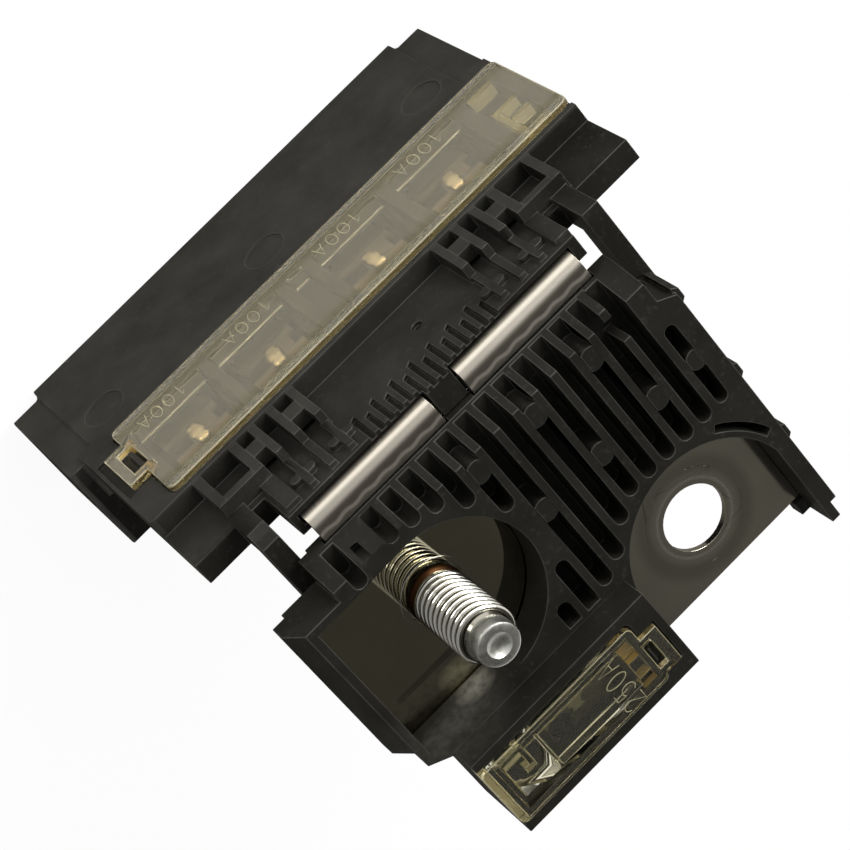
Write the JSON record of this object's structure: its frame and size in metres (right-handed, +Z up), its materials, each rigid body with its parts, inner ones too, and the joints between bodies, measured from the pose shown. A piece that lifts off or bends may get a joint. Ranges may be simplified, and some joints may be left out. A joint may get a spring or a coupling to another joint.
{
  "type": "fuse holder",
  "caption": "Battery-post fuse holder: ribbed plate with a bolt-hole terminal and threaded stud, hanging block of fusible links, clear hinged covers and connector sockets.",
  "frame": {"origin": "centre of the bolt hole, on the top face of the terminal sheet", "axes": "+X from the bolt hole towards the stud's side, +Y from the hanging block towards the bolt hole's free edge, +Z up along the stud"},
  "size_m": [0.0783, 0.0578, 0.0835],
  "materials": {
    "black_plastic": "satin moulded",
    "tin_plated": "dull tin plate on copper alloy",
    "zinc_steel": "bright plated",
    "link_alloy": "satin",
    "tin": "bright tin",
    "clear_cover": "clear with a slight yellow tint"
  },
  "bodies": {
    "holder": {"bus_bar": "tin_plated", "plate_housing": "black_plastic", "stud_plate": "tin_plated", "stud": "zinc_steel", "main_link": "link_alloy", "main_pellet": "tin", "block_housing": "black_plastic", "link_1": "link_alloy", "pellet_1": "tin", "outlet_1": "tin_plated", "link_2": "link_alloy", "pellet_2": "tin", "outlet_2": "tin_plated", "link_3": "link_alloy", "pellet_3": "tin", "outlet_3": "tin_plated", "link_4": "link_alloy", "pellet_4": "tin", "outlet_4": "tin_plated"},
    "long_cover_body": {"long_cover": "clear_cover"},
    "small_cover_body": {"small_cover": "clear_cover"}
  },
  "joints": [
    {"name": "long_cover_hinge", "type": "hinge", "parent": "holder", "child": "long_cover_body", "pos_m": [-0.0254, -0.0449, -0.0328], "axis": [0, 0, -1], "range_deg": [0, 75]},
    {"name": "small_cover_hinge", "type": "hinge", "parent": "holder", "child": "small_cover_body", "pos_m": [0.0435, 0.0022, 0.0084], "axis": [0, 1, 0], "range_deg": [0, 85]}
  ]
}
